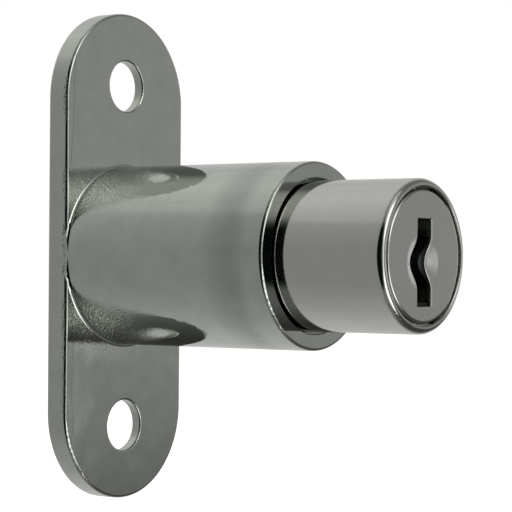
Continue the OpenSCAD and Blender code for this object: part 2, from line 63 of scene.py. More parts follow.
# The keyway through the cap: its outline's sizes, the lip rolled inwards along it, and the
# dent pressed round it. The rays that carry the cap's grid start at RAYS_FROM.
KEY_TOP = 4.2 * MM
KEY_BOTTOM = -5.6 * MM
KEY_HALF = 1.45 * MM
OUTER_BOW = 1.45 * MM
INNER_BOW = 1.0 * MM
BOW_HALF = 2.9 * MM
KEY_MID = (KEY_TOP + KEY_BOTTOM) / 2
CORNER_R = 0.08 * MM
LIP_WIDE = 0.34 * MM
LIP_DEEP = 0.1 * MM
DENT_AT = (-0.2 * MM, KEY_MID)
DENT_R = 3.65 * MM
DENT_SOFT = 0.7 * MM
DENT_SLOPE = 0.112
RAYS_FROM = (-0.6 * MM, KEY_MID)

# How finely the new pieces are drawn.
RAYS = 480
KEY_SIDE_POINTS = 240
KEY_CORNER_POINTS = 16
KEY_FILL = 24
LIP_ROWS = 9
FACE_ROWS = 46
EDGE_ROWS = 11
COIL_STEPS = 48

# A coil's centreline lies this many wires inside its box: half a wire and a little room.
COIL_INSET = 0.58

# The camera, fitted to the photo's outline: its place, what it looks at, its roll and its lens.
EYE = Vector((-0.1948, -0.16488, -0.00162))
AIM = Vector((0, -0.02015, 0))
ROLL = math.radians(0.41)
LENS_MM = 144.3
SENSOR_MM = 36


def linear(hex_colour):
    """An sRGB hex colour as linear red, green, blue and an alpha of 1."""
    channels = [int(hex_colour[i:i + 2], 16) / 255 for i in (1, 3, 5)]
    return [c / 12.92 if c <= 0.04045 else ((c + 0.055) / 1.055) ** 2.4 for c in channels] + [1]


def add(tree, kind, inputs=None, **settings):
    """Adds a node. settings are its own properties, and inputs maps a socket's name or
    number to a value or to the socket that feeds it."""
    made = tree.nodes.new(kind)
    for name, value in settings.items():
        setattr(made, name, value)
    for name, value in (inputs or {}).items():
        if isinstance(value, bpy.types.NodeSocket):
            tree.links.new(value, made.inputs[name])
        else:
            made.inputs[name].default_value = value
    return made


def place_camera():
    """A long lens at the photo's place, turned about its own axis by the roll."""
    data = bpy.data.cameras.new("camera")
    data.lens = LENS_MM
    data.sensor_width = SENSOR_MM
    data.clip_start = 0.01
    data.clip_end = 50
    camera = bpy.data.objects.new("camera", data)
    bpy.context.scene.collection.objects.link(camera)
    turn = (AIM - EYE).to_track_quat("-Z", "Y").to_matrix().to_4x4()
    camera.matrix_world = Matrix.Translation(EYE) @ turn @ Matrix.Rotation(ROLL, 4, "Z")
    bpy.context.scene.camera = camera


def grid_mesh(name, points, closed_u=False, closed_v=False):
    """A mesh from a grid of points of shape (u, v, 3): each cell is one quad, and a closed
    direction joins its last row to its first. Faces point to the side of (along u) x
    (along v). Where one direction alone is closed, a fan closes each end of the other."""
    nu, nv = points.shape[:2]
    ids = np.arange(nu * nv).reshape(nu, nv)
    rings = []
    if closed_v and not closed_u:
        rings = [ids[0], ids[-1][::-1]]
    if closed_u and not closed_v:
        rings = [ids[:, 0][::-1], ids[:, -1]]
    if closed_u:
        ids = np.concatenate([ids, ids[:1]], axis=0)
    if closed_v:
        ids = np.concatenate([ids, ids[:, :1]], axis=1)
    cells = np.stack([ids[:-1, :-1], ids[1:, :-1], ids[1:, 1:], ids[:-1, 1:]], axis=-1)
    faces = cells.reshape(-1, 4).tolist()
    verts = points.reshape(-1, 3).tolist()
    for ring in rings:
        faces += [[a, b, len(verts)] for a, b in zip(ring.tolist(), np.roll(ring, -1).tolist())]
        verts.append(points.reshape(-1, 3)[ring].mean(axis=0).tolist())
    mesh = bpy.data.meshes.new(name)
    mesh.from_pydata(verts, [], faces)
    mesh.shade_smooth()
    made = bpy.data.objects.new(name, mesh)
    bpy.context.scene.collection.objects.link(made)
    return made


# The studio: a white world, a pale floor, soft lamps, and a tent that the metal mirrors.
# A lamp has its place, the length of its side and its watts.
SOFT_WORLD = 0.5
FLOOR_Z = -0.1
FLOOR_HALF = 6.0
FLOOR_GLOW = 0.6
TENT_R = 1.0
TENT_ROUND = 64
TENT_DOWN = 35
LAMPS = {"key": ((-0.6, -0.9, 1.1), 0.9, 16), "fill": ((1.1, -0.4, 0.9), 1.0, 9)}


def white_world():
    """White where a camera, glossy or transmitted ray ends, and plain soft light elsewhere."""
    world = bpy.data.worlds.new("world")
    world.use_nodes = True
    tree = world.node_tree
    tree.nodes.clear()
    path = add(tree, "ShaderNodeLightPath")
    seen = path.outputs["Is Camera Ray"]
    for ray in ("Is Glossy Ray", "Is Transmission Ray"):
        seen = add(tree, "ShaderNodeMath", {0: seen, 1: path.outputs[ray]}, operation="MAXIMUM").outputs[0]
    soft = add(tree, "ShaderNodeBackground", {"Color": linear("#ffffff"), "Strength": SOFT_WORLD})
    white = add(tree, "ShaderNodeBackground", {"Color": linear("#ffffff"), "Strength": 1.0})
    both = add(tree, "ShaderNodeMixShader", {0: seen, 1: soft.outputs[0], 2: white.outputs[0]})
    add(tree, "ShaderNodeOutputWorld", {"Surface": both.outputs[0]})
    bpy.context.scene.world = world


def pale_floor():
    """A pale sheet below the lock: white to the camera, but still darker in a shadow."""
    corners = np.array([[[-1, -1], [-1, 1]], [[1, -1], [1, 1]]], float) * FLOOR_HALF
    points = np.concatenate([corners, np.full((2, 2, 1), FLOOR_Z)], axis=-1)
    floor = grid_mesh("floor", points[::-1])
    paint = bpy.data.materials.new("white_seamless_paper")
    paint.use_nodes = True
    tree = paint.node_tree
    tree.nodes.clear()
    path = add(tree, "ShaderNodeLightPath")
    matt = add(tree, "ShaderNodeBsdfDiffuse", {"Color": linear("#f2f2f0")})
    glow = add(tree, "ShaderNodeEmission", {"Color": linear("#ffffff"), "Strength": FLOOR_GLOW})
    lit = add(tree, "ShaderNodeAddShader", {0: matt.outputs[0], 1: glow.outputs[0]})
    mixed = add(tree, "ShaderNodeMixShader",
                {0: path.outputs["Is Camera Ray"], 1: matt.outputs[0], 2: lit.outputs[0]})
    add(tree, "ShaderNodeOutputMaterial", {"Surface": mixed.outputs[0]})
    floor.data.materials.append(paint)
    floor.visible_glossy = False


def soft_lamps():
    """Two large soft lamps. The tent holds their reflections, so they light only matt things."""
    for name, (place, size, watts) in LAMPS.items():
        data = bpy.data.lights.new(name, "AREA")
        data.size = size
        data.energy = watts
        lamp = bpy.data.objects.new(name, data)
        lamp.location = place
        lamp.rotation_euler = (-Vector(place)).to_track_quat("-Z", "Y").to_euler()
        lamp.visible_glossy = False
        bpy.context.scene.collection.objects.link(lamp)


# The tent's tones. A direction from the lock runs from -1 to 1 along X, Y and Z. Each tone
# says where on one of them it starts and ends, and its light at both, with 1 for white.
FRONT_TO_BACK = {"From Min": -0.35, "From Max": 0.3}
BEHIND = {"From Min": -0.78, "From Max": 0.25, "To Min": 0.34, "To Max": 0.60}
BEHIND_LEAN = 0.25
BEHIND_SHELF = {"From Min": 0.6, "From Max": 0.69, "To Max": 0.07}
FRONT_BELOW = {"From Min": -0.1, "From Max": 0.5, "To Min": 0.2, "To Max": 0.07}
FRONT_ABOVE = {"From Min": 0.13, "From Max": 0.5, "To Min": 0.375, "To Max": 0.2}
BELOW_TO_ABOVE = {"From Min": -0.26, "From Max": 0.0}
OPENING_LIGHT = 0.012
CLOTH_TINT = "#fdfefb"
OPENING_TINT = "#a9cdb9"

# The opening that the camera looks through, and the tent's brighter places: the way to
# each, the degrees from it that are full and where it has faded out, and its light.
OPENING = ((-0.93, -0.37, 0), 36, 50)
GLOWS = {"box above the front": ((0.06, -0.9, 0.42), 8, 22, 1.8),
         "box below the front": ((0.02, -0.91, -0.4), 8, 22, 1.8),
         "box for the lower edges": ((0.31, -0.84, -0.44), 4, 11, 1.6),
         "front": ((0.05, -1, 0), 3, 12, 1.0),
         "spot for the dent": ((0.67, -0.74, -0.02), 2, 7, 0.46),
         "spot under it": ((0.69, -0.71, -0.12), 1, 6, 0.3),
         "right side": ((0.93, -0.375, 0), 3, 10, 0.46),
         "above": ((-0.05, -0.63, 0.77), 8, 30, 0.48),
         "below": ((-0.28, -0.74, -0.61), 5, 26, 0.06),
         "back": ((-0.13, 0.65, 0.75), 5, 30, 0.04)}


def near_to(tree, way, axis, full, faded):
    """1 within full degrees of an axis, falling smoothly to 0 at faded degrees."""
    cosine = add(tree, "ShaderNodeVectorMath", {0: way, 1: Vector(axis).normalized()},
                 operation="DOT_PRODUCT").outputs["Value"]
    return add(tree, "ShaderNodeMapRange",
               {"Value": cosine, "From Min": math.cos(math.radians(faded)),
                "From Max": math.cos(math.radians(full))}, interpolation_type="SMOOTHSTEP").outputs[0]


def tent_cloth():
    """The tent's light by direction. Behind the plate it is mid grey to the left and
    brighter to the right and above. In front it is mid grey and darker below. The camera's
    side is an opening, nearly black. Boxes above and below the front draw the bright lines
    on rounded edges, two spots light the cap's dent, and soft glows fill in round them."""
    cloth = bpy.data.materials.new("light_tent_cloth")
    cloth.use_nodes = True
    tree = cloth.node_tree
    tree.nodes.clear()
    way = add(tree, "ShaderNodeTexCoord").outputs["Object"]
    parts = add(tree, "ShaderNodeSeparateXYZ", {0: way}).outputs
    back = add(tree, "ShaderNodeMapRange", {"Value": parts["Y"], **FRONT_TO_BACK},
               interpolation_type="SMOOTHSTEP").outputs[0]
    lean = add(tree, "ShaderNodeMath", {0: parts["Z"], 1: BEHIND_LEAN, 2: parts["X"]},
               operation="MULTIPLY_ADD").outputs[0]
    behind = add(tree, "ShaderNodeMapRange", {"Value": lean, **BEHIND}).outputs[0]
    shelf = add(tree, "ShaderNodeMapRange", {"Value": parts["Z"], **BEHIND_SHELF},
                interpolation_type="SMOOTHSTEP").outputs[0]
    behind = add(tree, "ShaderNodeMath", {0: behind, 1: shelf}, operation="ADD").outputs[0]
    below = add(tree, "ShaderNodeMapRange", {"Value": parts["X"], **FRONT_BELOW}).outputs[0]
    above = add(tree, "ShaderNodeMapRange", {"Value": parts["Z"], **FRONT_ABOVE},
                interpolation_type="SMOOTHSTEP").outputs[0]
    before = add(tree, "ShaderNodeMapRange",
                 {"Value": parts["Z"], "To Min": below, "To Max": above, **BELOW_TO_ABOVE},
                 interpolation_type="SMOOTHSTEP").outputs[0]
    level = add(tree, "ShaderNodeMix", {0: back, 2: before, 3: behind}).outputs[0]
    opening = near_to(tree, way, *OPENING)
    level = add(tree, "ShaderNodeMix", {0: opening, 2: level, 3: OPENING_LIGHT}).outputs[0]
    for axis, full, faded, light in GLOWS.values():
        glow = near_to(tree, way, axis, full, faded)
        level = add(tree, "ShaderNodeMath", {0: glow, 1: light, 2: level},
                    operation="MULTIPLY_ADD").outputs[0]
    tint = add(tree, "ShaderNodeMix", {0: opening, 6: linear(CLOTH_TINT), 7: linear(OPENING_TINT)},
               data_type="RGBA").outputs[2]
    shine = add(tree, "ShaderNodeEmission", {"Color": tint, "Strength": level})
    add(tree, "ShaderNodeOutputMaterial", {"Surface": shine.outputs[0]})
    return cloth


def light_tent():
    """A sphere round the lock, seen by mirrored rays alone. A point is TENT_R (cos u sin v,
    sin u sin v, cos v). The radius is one metre, so Object coordinates are directions."""
    u = np.linspace(0, 2 * np.pi, TENT_ROUND, endpoint=False)[:, None]
    v = np.linspace(0, np.pi, TENT_DOWN)[None, 1:-1]
    points = TENT_R * np.stack([np.cos(u) * np.sin(v), np.sin(u) * np.sin(v), np.cos(v) + 0 * u], axis=-1)
    tent = grid_mesh("light_tent", points, closed_u=True)
    tent.data.materials.append(tent_cloth())
    tent.visible_camera = False
    tent.visible_diffuse = False
    tent.visible_transmission = False
    tent.visible_shadow = False
    tent.visible_volume_scatter = False


# Pieces that show more than their CAD nodes.
def keyway_reach(angles):
    """How far the keyway's outline lies from RAYS_FROM at each angle. The outline is a tall
    slot with rounded corners. Both of its sides bow to the left: at a height h from KEY_MID,
    by OUTER_BOW or INNER_BOW times (1 + cos(pi h / BOW_HALF)) / 2."""
    rise = np.linspace(KEY_BOTTOM + CORNER_R, KEY_TOP - CORNER_R, KEY_SIDE_POINTS)
    off = np.clip(rise - KEY_MID, -BOW_HALF, BOW_HALF)
    bow = (1 + np.cos(np.pi * off / BOW_HALF)) / 2
    right = np.stack([KEY_HALF - INNER_BOW * bow, rise], axis=-1)
    left = np.stack([-KEY_HALF - OUTER_BOW * bow, rise], axis=-1)[::-1]

    def corner(x, z, turn):
        a = np.radians(np.linspace(turn, turn + 90, KEY_CORNER_POINTS))
        return np.stack([x - math.copysign(CORNER_R, x) + CORNER_R * np.cos(a),
                         z - math.copysign(CORNER_R, z) + CORNER_R * np.sin(a)], axis=-1)

    outline = np.concatenate([right, corner(KEY_HALF, KEY_TOP, 0), corner(-KEY_HALF, KEY_TOP, 90),
                              left, corner(-KEY_HALF, KEY_BOTTOM, 180),
                              corner(KEY_HALF, KEY_BOTTOM, 270)]) - RAYS_FROM
    steps = np.linspace(0, 1, KEY_FILL, endpoint=False)[:, None, None]
    outline = (outline + steps * (np.roll(outline, -1, axis=0) - outline)).reshape(-1, 2)
    reach = np.hypot(outline[:, 0], outline[:, 1])
    return np.interp(angles, np.arctan2(outline[:, 1], outline[:, 0]), reach, period=2 * np.pi)


def dent(x, z):
    """How deep the cap is pressed in at a place: a cone of DENT_SLOPE with a soft edge. With
    e the way in from the edge, the depth is DENT_SLOPE e^2 / (2 DENT_SOFT) up to DENT_SOFT
    and DENT_SLOPE (e - DENT_SOFT / 2) past it."""
    e = np.clip(DENT_R - np.hypot(x - DENT_AT[0], z - DENT_AT[1]), 0, None)
    return DENT_SLOPE * np.where(e < DENT_SOFT, e ** 2 / (2 * DENT_SOFT), e - DENT_SOFT / 2)


def face_cap():
    """The pressed cap over the core. Its section starts at the keyway's rolled lip, a
    quarter ellipse that is LIP_DEEP high and wide, and LIP_WIDE wide on the right side. It
    runs across the dented face to the rim, a quarter circle of CAP_EDGE_R, down the skirt
    and back along the inside. Each ray leaves RAYS_FROM and meets the keyway's outline and
    the rim once, so the grid has no folds."""
    angles = -2 * np.pi * np.arange(RAYS) / RAYS
    ray = np.stack([np.cos(angles), np.sin(angles)], axis=-1)
    start = np.array(RAYS_FROM)
    mouth = start + ray * keyway_reach(angles)[:, None]
    along = np.roll(mouth, -1, axis=0) - np.roll(mouth, 1, axis=0)
    away = np.stack([-along[:, 1], along[:, 0]], axis=-1)
    away /= np.linalg.norm(away, axis=1, keepdims=True)
    reach = -(ray @ start) + np.sqrt((ray @ start) ** 2 - start @ start + CAP_R ** 2)
    rim = start + ray * reach[:, None]
    rim /= np.linalg.norm(rim, axis=1, keepdims=True)
    roll = away * (LIP_DEEP + (LIP_WIDE - LIP_DEEP) * np.clip(away[:, :1], 0, 1) ** 2)
    lip = mouth + roll
    sunk = dent(lip[:, 0], lip[:, 1])
    rows = [(mouth, np.full(RAYS, CAP_T))]
    for a in np.radians(np.linspace(90, 0, LIP_ROWS)):
        rows.append((mouth + roll * (1 - math.sin(a)), sunk + LIP_DEEP * (1 - math.cos(a))))
    edge = rim * (CAP_R - CAP_EDGE_R)
    for s in np.linspace(0, 1, FACE_ROWS)[1:]:
        place = lip + s * (edge - lip)
        rows.append((place, dent(place[:, 0], place[:, 1])))
    for a in np.radians(np.linspace(0, 90, EDGE_ROWS))[1:]:
        rows.append((rim * (CAP_R - CAP_EDGE_R + CAP_EDGE_R * math.sin(a)),
                     np.full(RAYS, CAP_EDGE_R * (1 - math.cos(a)))))
    skirt = SKIRT_Y - FACE_Y
    inside = rim * (CAP_R - CAP_T)
    rows += [(rim * CAP_R, np.full(RAYS, skirt)), (inside, np.full(RAYS, skirt)),
             (inside, np.full(RAYS, CAP_T))]
    points = np.stack([np.stack([place[:, 0], FACE_Y + deep, place[:, 1]], axis=-1)
                       for place, deep in rows], axis=1)
    cap = grid_mesh("face_cap", points, closed_u=True, closed_v=True)
    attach(cap, "core")
    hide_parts("core_cap")
    return cap


def coil_spring(node, body, wire, turns, upright, around):
    """A round-wire spring in its CAD node's box. The centreline is (R cos a, R sin a, h): h
    climbs by one wire over the first and the last turn and evenly between them. The round
    wire is drawn at right angles to it, and both ends are ground flat, a quarter of a wire
    from the centreline. It stands along Z where upright, and otherwise along Y."""
    low, high = (np.array(corner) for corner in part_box(node))
    centre = (low + high) / 2
    long_way = 2 if upright else 1
    length = high[long_way] - low[long_way]
    radius = (high[0] - low[0]) / 2 - COIL_INSET * wire
    ground = wire / 4
    turn = np.linspace(0, turns, COIL_STEPS * turns + 1)[:, None]
    climb = np.interp(turn, [0, 1, turns - 1, turns],
                      [ground, ground + wire, length - ground - wire, length - ground])
    a = 2 * np.pi * turn
    out = np.concatenate([np.cos(a), np.sin(a), 0 * a], axis=1)
    line = out * radius + np.concatenate([0 * a, 0 * a, climb], axis=1)
    ahead = np.gradient(line, axis=0)
    ahead /= np.linalg.norm(ahead, axis=1, keepdims=True)
    across = np.cross(out, ahead)
    b = np.linspace(0, 2 * np.pi, around, endpoint=False)[None, :, None]
    points = line[:, None] + wire / 2 * (np.cos(b) * out[:, None] + np.sin(b) * across[:, None])
    points[..., 2] = np.clip(points[..., 2], 0, length) - length / 2
    if not upright:
        points = np.stack([points[..., 0], -points[..., 2], points[..., 1]], axis=-1)
    made = grid_mesh(node + "_wire", points + centre, closed_v=True)
    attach(made, body)
    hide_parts(node)
    return made


# Materials. Each is a metal with its own colours, grain and polish. Dull places, and places
# with painted shade or a painted dark reflection, drift to a dark tone and get rougher, and
# satin places get rougher alone.
DARK_WEAR_AND_SHADE_TONE = "#343532"
DULL_ROUGH = 0.25
SATIN_ROUGH = 0.15

# Where most of a noise's values lie.
NOISE_SPAN = {"From Min": 0.3, "From Max": 0.7}


def metal(name, colours, blotch_mm, rough, rough_spread, bumps, relief=None):
    """A metal whose colour drifts between two near tones over blotches of a real size, whose
    roughness varies by rough_spread, and whose surface carries bumps: a list of grain size
    in mm, height in mm and the stretch of the coordinates. relief adds the marks of one
    piece: it takes the tree and the coordinates and gives a height in mm, how dark and dull
    the place is, through wear and through painted shade, and how satin it is, both from 0 to 1."""
    made = bpy.data.materials.new(name)
    made.use_nodes = True
    tree = made.node_tree
    tree.nodes.clear()
    where = add(tree, "ShaderNodeTexCoord").outputs["Object"]
    drift = add(tree, "ShaderNodeTexNoise",
                {"Vector": where, "Scale": 1 / (blotch_mm * MM), "Detail": 4.0}).outputs[0]
    tone = add(tree, "ShaderNodeMix", {0: drift, 6: linear(colours[0]), 7: linear(colours[1])},
               data_type="RGBA").outputs[2]
    polish = add(tree, "ShaderNodeMapRange", {"Value": drift, **NOISE_SPAN, "To Min": rough,
                                              "To Max": rough + rough_spread}).outputs[0]
    heights = []
    for grain_mm, height_mm, stretch in bumps:
        spread = add(tree, "ShaderNodeMapping", {"Vector": where, "Scale": stretch}).outputs[0]
        grain = add(tree, "ShaderNodeTexNoise",
                    {"Vector": spread, "Scale": 1 / (grain_mm * MM), "Detail": 2.0}).outputs[0]
        heights.append((grain, height_mm))
    if relief is not None:
        marks, darkening, satin = relief(tree, where)
        heights.append((marks, 1.0))
        # The dark tone carries real wear, and also painted shade and a painted dark reflection where a
        # piece's relief paints them.
        tone = add(tree, "ShaderNodeMix", {0: darkening, 6: tone, 7: linear(DARK_WEAR_AND_SHADE_TONE)},
                   data_type="RGBA").outputs[2]
        for roughened_mask, rougher in ((darkening, DULL_ROUGH), (satin, SATIN_ROUGH)):
            polish = add(tree, "ShaderNodeMath", {0: roughened_mask, 1: rougher, 2: polish},
                         operation="MULTIPLY_ADD").outputs[0]
    normal = add(tree, "ShaderNodeNewGeometry").outputs["Normal"]
    for height, height_mm in heights:
        normal = add(tree, "ShaderNodeBump", {"Height": height, "Distance": height_mm * MM,
                                              "Strength": 1.0, "Normal": normal}).outputs[0]
    skin = add(tree, "ShaderNodeBsdfPrincipled",
               {"Base Color": tone, "Metallic": 1.0, "Roughness": polish, "Normal": normal})
    add(tree, "ShaderNodeOutputMaterial", {"Surface": skin.outputs[0]})
    return made


# The casting's marks. A fade says where it starts and ends and its strength at both, a
# size is a noise's grain, a band has its middle and its half width, and a height is in mm.
GRAIN_TO_PLATE = {"From Min": -13 * MM, "From Max": -1.5 * MM, "To Min": 0.02}
ONTO_PLATE = {"From Min": -0.4 * MM, "From Max": -0.2 * MM}
PLATE_CLEARS = {"From Min": BARREL_R, "From Max": BARREL_R + 5 * MM, "To Min": -0.85, "To Max": -0.985}
GRAIN_FROM_MIDDLE = {"From Min": 4 * MM, "From Max": 8.5 * MM, "To Min": 0.15}
GRAIN_SIZE = 0.28 * MM
GRAIN_HEIGHT = 0.13

PIT_BAND = {1: 0.4 * MM, 2: 0.22 * MM}
PIT_MARGIN = 0.3 * MM
PIT_SIZE = 0.3 * MM
PIT_EDGE = {"From Min": 0.45, "From Max": 0.58}
PIT_PATCH_SIZE = 3 * MM
PIT_PATCH_EDGE = {"From Min": 0.4, "From Max": 0.6}
PIT_HEIGHT = -0.03
PIT_DULL = 0.5

FLASH_BAND = {1: -8.4 * MM, 2: 0.09 * MM}
FLASH_WANDER = 3.0 * MM
FLASH_WANDER_SIZE = 9 * MM
FLASH_BREAK_SIZE = 11 * MM
FLASH_BREAK_BELOW = 0.5
FRONT_FACE_BAND = {1: 0.0, 2: 0.1 * MM}
FLASH_HEIGHT = 0.02
FLASH_DULL = 0.25

SEAM_BAND = {1: 6.15 * MM, 2: 0.06 * MM}
SEAM_HEIGHT = 0.008
# The next two fades paint a dark reflection: a darker ring round the barrel near its front.
PAINTED_DARK_BAND_STARTS = {"From Min": -19.5 * MM, "From Max": -24 * MM, "To Max": 0.25}
PAINTED_DARK_BAND_ENDS = {"From Min": -24.5 * MM, "From Max": -27 * MM, "To Max": 0.2}
PLATE_EDGE_BAND = {1: 0.18 * MM, 2: 0.17 * MM}
FRONT_EDGE = 0.3 * MM


def root_grain(tree, where, y, z, away):
    """The casting's grain at the barrel's foot. It grows towards the plate and from the
    barrel's middle height up and down, and on the plate it clears away from the barrel."""
    root = add(tree, "ShaderNodeMapRange", {"Value": y, **GRAIN_TO_PLATE},
               interpolation_type="SMOOTHSTEP").outputs[0]
    plate = add(tree, "ShaderNodeMapRange", {"Value": y, **ONTO_PLATE}).outputs[0]
    clear = add(tree, "ShaderNodeMapRange", {"Value": away, **PLATE_CLEARS},
                interpolation_type="SMOOTHSTEP").outputs[0]
    root = add(tree, "ShaderNodeMath", {0: plate, 1: clear, 2: root}, operation="MULTIPLY_ADD").outputs[0]
    off_middle = add(tree, "ShaderNodeMath", {0: z}, operation="ABSOLUTE").outputs[0]
    flank = add(tree, "ShaderNodeMapRange", {"Value": off_middle, **GRAIN_FROM_MIDDLE},
                interpolation_type="SMOOTHSTEP").outputs[0]
    root = add(tree, "ShaderNodeMath", {0: root, 1: flank}, operation="MULTIPLY").outputs[0]
    grain = add(tree, "ShaderNodeTexNoise",
                {"Vector": where, "Scale": 1 / GRAIN_SIZE, "Detail": 3.0}).outputs[0]
    return add(tree, "ShaderNodeMath", {0: grain, 1: root}, operation="MULTIPLY").outputs[0]


def edge_pits(tree, where, x, y):
    """Small dark holes, in patches, in a line along the plate's long front edges."""
    side = add(tree, "ShaderNodeMath", {0: x}, operation="ABSOLUTE").outputs[0]
    edge = add(tree, "ShaderNodeMath", {0: side, 1: BARREL_R - PIT_MARGIN},
               operation="GREATER_THAN").outputs[0]
    pits = add(tree, "ShaderNodeMath", {0: y, **PIT_BAND}, operation="COMPARE").outputs[0]
    pits = add(tree, "ShaderNodeMath", {0: pits, 1: edge}, operation="MULTIPLY").outputs[0]
    for size, detail, fade in ((PIT_SIZE, 3.0, PIT_EDGE), (PIT_PATCH_SIZE, 1.0, PIT_PATCH_EDGE)):
        speck = add(tree, "ShaderNodeTexNoise",
                    {"Vector": where, "Scale": 1 / size, "Detail": detail}).outputs[0]
        speck = add(tree, "ShaderNodeMapRange", {"Value": speck, **fade}).outputs[0]
        pits = add(tree, "ShaderNodeMath", {0: pits, 1: speck}, operation="MULTIPLY").outputs[0]
    return pits


def flash_line(tree, where, x, y):
    """The flash line on the plate's front, where x comes within a hair of a wandering line.
    It is broken off in places."""
    wander = add(tree, "ShaderNodeTexNoise",
                 {"Vector": where, "Scale": 1 / FLASH_WANDER_SIZE, "Detail": 1.0}).outputs[0]
    line = add(tree, "ShaderNodeMath", {0: wander, 1: FLASH_WANDER, 2: x},
               operation="MULTIPLY_ADD").outputs[0]
    line = add(tree, "ShaderNodeMath", {0: line, **FLASH_BAND}, operation="COMPARE").outputs[0]
    whole = add(tree, "ShaderNodeTexNoise",
                {"Vector": where, "Scale": 1 / FLASH_BREAK_SIZE, "Detail": 0.0}).outputs[0]
    whole = add(tree, "ShaderNodeMath", {0: whole, 1: FLASH_BREAK_BELOW},
                operation="GREATER_THAN").outputs[0]
    front = add(tree, "ShaderNodeMath", {0: y, **FRONT_FACE_BAND}, operation="COMPARE").outputs[0]
    for part in (whole, front):
        line = add(tree, "ShaderNodeMath", {0: line, 1: part}, operation="MULTIPLY").outputs[0]
    return line


def satin_edges(tree, y, away):
    """The rounded front edges of the plate and of the barrel, which the wheel left satin."""
    plate = add(tree, "ShaderNodeMath", {0: y, **PLATE_EDGE_BAND}, operation="COMPARE").outputs[0]
    front = add(tree, "ShaderNodeMath", {0: y, 1: BARREL_Y + FRONT_EDGE}, operation="LESS_THAN").outputs[0]
    outer = add(tree, "ShaderNodeMath", {0: away, 1: BARREL_R - FRONT_EDGE},
                operation="GREATER_THAN").outputs[0]
    front = add(tree, "ShaderNodeMath", {0: front, 1: outer}, operation="MULTIPLY").outputs[0]
    return add(tree, "ShaderNodeMath", {0: plate, 1: front}, operation="MAXIMUM").outputs[0]


def from_axis(tree, where):
    """The distance from the lock's axis."""
    flat = add(tree, "ShaderNodeVectorMath", {0: where, 1: (1, 0, 1)}, operation="MULTIPLY").outputs[0]
    return add(tree, "ShaderNodeVectorMath", {0: flat}, operation="LENGTH").outputs["Value"]


def casting_marks(tree, where):
    """What the die and the polishing left on the housing: grain at the barrel's foot, pits
    along the plate's edges, a flash line, a seam along the barrel and satin edges. A darker
    ring near the barrel's front is a painted dark reflection."""
    x, y, z = add(tree, "ShaderNodeSeparateXYZ", {0: where}).outputs
    away = from_axis(tree, where)
    grain = root_grain(tree, where, y, z, away)
    pits = edge_pits(tree, where, x, y)
    line = flash_line(tree, where, x, y)
    seam = add(tree, "ShaderNodeMath", {0: z, **SEAM_BAND}, operation="COMPARE").outputs[0]
    height = 0.0
    for mark, tall in ((grain, GRAIN_HEIGHT), (pits, PIT_HEIGHT),
                       (line, FLASH_HEIGHT), (seam, SEAM_HEIGHT)):
        height = add(tree, "ShaderNodeMath", {0: mark, 1: tall, 2: height},
                     operation="MULTIPLY_ADD").outputs[0]
    # Painted dark reflection: the ring between these two fades is darkened. The pits and the flash line
    # darken too.
    ring = add(tree, "ShaderNodeMapRange", {"Value": y, **PAINTED_DARK_BAND_STARTS},
               interpolation_type="SMOOTHSTEP").outputs[0]
    dark_band_fades = add(tree, "ShaderNodeMapRange", {"Value": y, **PAINTED_DARK_BAND_ENDS},
                interpolation_type="SMOOTHSTEP").outputs[0]
    darkening = add(tree, "ShaderNodeMath", {0: ring, 1: dark_band_fades}, operation="SUBTRACT").outputs[0]
    darkening = add(tree, "ShaderNodeMath", {0: pits, 1: PIT_DULL, 2: darkening}, operation="MULTIPLY_ADD").outputs[0]
    darkening = add(tree, "ShaderNodeMath", {0: line, 1: FLASH_DULL, 2: darkening}, operation="MULTIPLY_ADD",
               use_clamp=True).outputs[0]
    return height, darkening, satin_edges(tree, y, away)


# The plunger's marks, in the same terms.
PLUNGER_SEAM_BAND = {1: 4.75 * MM, 2: 0.05 * MM}
PLUNGER_SEAM_HEIGHT = 0.003
NICKS_TO_RIM = {"From Min": PLUNGER_Y + 2 * MM, "From Max": PLUNGER_Y + 0.5 * MM}
RECESS_WALL = 0.1 * MM
NICK_SIZE = 0.5 * MM
NICK_EDGE = {"From Min": 0.66, "From Max": 0.74}
NICK_HEIGHT = -0.015
NICK_DULL = 0.5


def plunger_marks(tree, where):
    """The plunger's marks: a faint seam along it and small nicks near its front rim."""
    parts = add(tree, "ShaderNodeSeparateXYZ", {0: where}).outputs
    seam = add(tree, "ShaderNodeMath", {0: parts["Z"], **PLUNGER_SEAM_BAND}, operation="COMPARE").outputs[0]
    rim = add(tree, "ShaderNodeMapRange", {"Value": parts["Y"], **NICKS_TO_RIM}).outputs[0]
    outside = add(tree, "ShaderNodeMath", {0: from_axis(tree, where), 1: RECESS_R + RECESS_WALL},
                  operation="GREATER_THAN").outputs[0]
    rim = add(tree, "ShaderNodeMath", {0: rim, 1: outside}, operation="MULTIPLY").outputs[0]
    nick = add(tree, "ShaderNodeTexNoise",
               {"Vector": where, "Scale": 1 / NICK_SIZE, "Detail": 3.0}).outputs[0]
    nick = add(tree, "ShaderNodeMapRange", {"Value": nick, **NICK_EDGE}).outputs[0]
    nick = add(tree, "ShaderNodeMath", {0: nick, 1: rim}, operation="MULTIPLY").outputs[0]
    height = add(tree, "ShaderNodeMath", {0: seam, 1: PLUNGER_SEAM_HEIGHT},
                 operation="MULTIPLY").outputs[0]
    height = add(tree, "ShaderNodeMath", {0: nick, 1: NICK_HEIGHT, 2: height},
                 operation="MULTIPLY_ADD").outputs[0]
    darkening = add(tree, "ShaderNodeMath", {0: nick, 1: NICK_DULL}, operation="MULTIPLY").outputs[0]
    return height, darkening, 0.0


